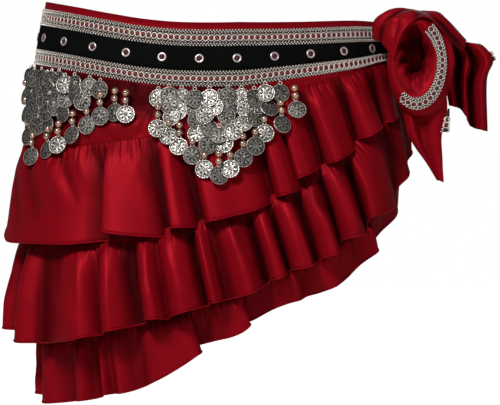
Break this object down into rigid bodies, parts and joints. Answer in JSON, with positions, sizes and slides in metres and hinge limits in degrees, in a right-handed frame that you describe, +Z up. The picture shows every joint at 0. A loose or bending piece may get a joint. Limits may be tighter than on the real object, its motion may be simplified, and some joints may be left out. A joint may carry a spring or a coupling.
{
  "type": "belly dance hip scarf",
  "caption": "Satin hip scarf with a braided eyelet band, coin fringes, gathered ruffle tiers and a side bow knot, holding its worn form.",
  "frame": {"origin": "centre of the hips at the height of the middle of the band, where the wearer holds the scarf up", "axes": "+X runs to the knot, the longest extent; -Y is the front; +Z up"},
  "size_m": [0.4842, 0.3085, 0.3955],
  "materials": {
    "satin": "dark red polyester satin, soft sheen",
    "ribbon": "black grosgrain ribbon, matt",
    "braid": "silver and cream twisted cord braid",
    "eyelet_metal": "nickel-plated eyelets",
    "coin_metal": "stamped coins in antique silver with a dark patina"
  },
  "bodies": {
    "root": {"base_front": "satin", "base_back": "satin", "tier_1_front": "satin", "tier_1_back": "satin", "tier_2_front": "satin", "tier_2_back": "satin", "tier_3_front": "satin", "tier_3_back": "satin", "bow_loop": "satin", "knot_wrap": "satin", "knot_heart": "satin", "tail_front": "satin", "tail_side": "satin", "tie": "satin", "ribbon_black": "ribbon", "braid_upper": "braid", "braid_lower": "braid", "braid_loop": "braid", "eyelet_01": "eyelet_metal", "eyelet_02": "eyelet_metal", "eyelet_03": "eyelet_metal", "eyelet_04": "eyelet_metal", "eyelet_05": "eyelet_metal", "eyelet_06": "eyelet_metal", "eyelet_07": "eyelet_metal", "eyelet_08": "eyelet_metal", "eyelet_09": "eyelet_metal", "eyelet_10": "eyelet_metal", "eyelet_11": "eyelet_metal", "eyelet_12": "eyelet_metal", "eyelet_13": "eyelet_metal", "eyelet_14": "eyelet_metal", "eyelet_15": "eyelet_metal", "eyelet_16": "eyelet_metal", "eyelet_17": "eyelet_metal", "eyelet_18": "eyelet_metal", "eyelet_19": "eyelet_metal", "eyelet_20": "eyelet_metal", "eyelet_21": "eyelet_metal", "eyelet_22": "eyelet_metal", "eyelet_23": "eyelet_metal", "coins_front": "coin_metal", "coins_side": "coin_metal", "coins_back": "coin_metal"}
  },
  "joints": []
}
